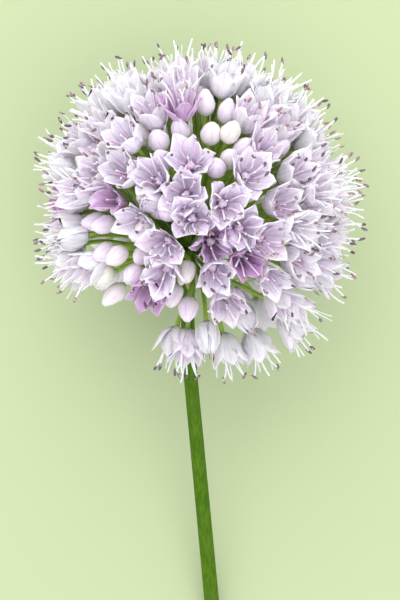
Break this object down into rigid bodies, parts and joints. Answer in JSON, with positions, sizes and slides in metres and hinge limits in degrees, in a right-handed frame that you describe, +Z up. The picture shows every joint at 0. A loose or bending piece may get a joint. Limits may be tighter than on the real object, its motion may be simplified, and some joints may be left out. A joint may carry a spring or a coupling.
{
  "type": "allium flower head",
  "caption": "Cut flower head of a pale pink ornamental allium: a round umbel of stalked florets and buds on a bare stem, lying on its side.",
  "frame": {"origin": "on the surface that the flower lies on, under the centre of its bounding box", "axes": "+Z up from the surface, +Y along the flower from the cut end of the stem to the head, +X to the right as the flower is seen from above with its head away from the viewer"},
  "size_m": [0.0574, 0.1016, 0.0532],
  "materials": {
    "tepal": "matte",
    "bud": "matte",
    "filament": "matte",
    "anther": "matte",
    "ovary": "satin",
    "stalk": "satin",
    "scape": "satin",
    "bract": "matte"
  },
  "bodies": {
    "root": {"cyme_01": "tepal", "cyme_02": "tepal", "cyme_03": "tepal", "cyme_04": "tepal", "cyme_05": "tepal", "cyme_06": "tepal", "cyme_07": "tepal", "cyme_08": "tepal", "cyme_09": "tepal", "cyme_10": "tepal", "cyme_11": "tepal", "cyme_12": "tepal", "scape": "scape"}
  },
  "joints": []
}
